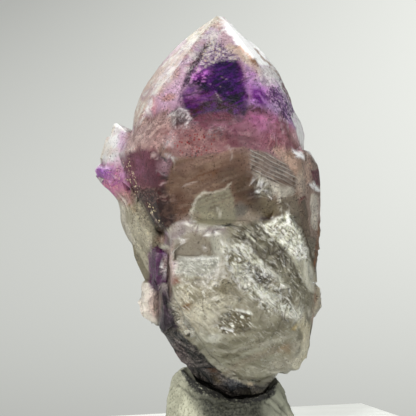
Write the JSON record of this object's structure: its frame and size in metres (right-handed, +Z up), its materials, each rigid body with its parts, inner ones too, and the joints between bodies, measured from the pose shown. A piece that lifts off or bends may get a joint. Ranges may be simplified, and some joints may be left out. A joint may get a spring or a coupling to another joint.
{
  "type": "amethyst scepter crystal in a putty stand",
  "caption": "Upright quartz scepter with a violet six-sided cap, side crystals and a broken pale front, pressed into a lump of grey mineral putty that stands flat.",
  "frame": {"origin": "centre of the putty lump's flat underside", "axes": "+Z up, along the crystal's long axis; -Y out of the broken pale face; +X to the right for someone who looks at that face"},
  "size_m": [0.0411, 0.0339, 0.0753],
  "materials": {
    "amethyst": "satin",
    "putty": "matte"
  },
  "bodies": {
    "root": {"amethyst_scepter": "amethyst", "putty_base": "putty"}
  },
  "joints": []
}
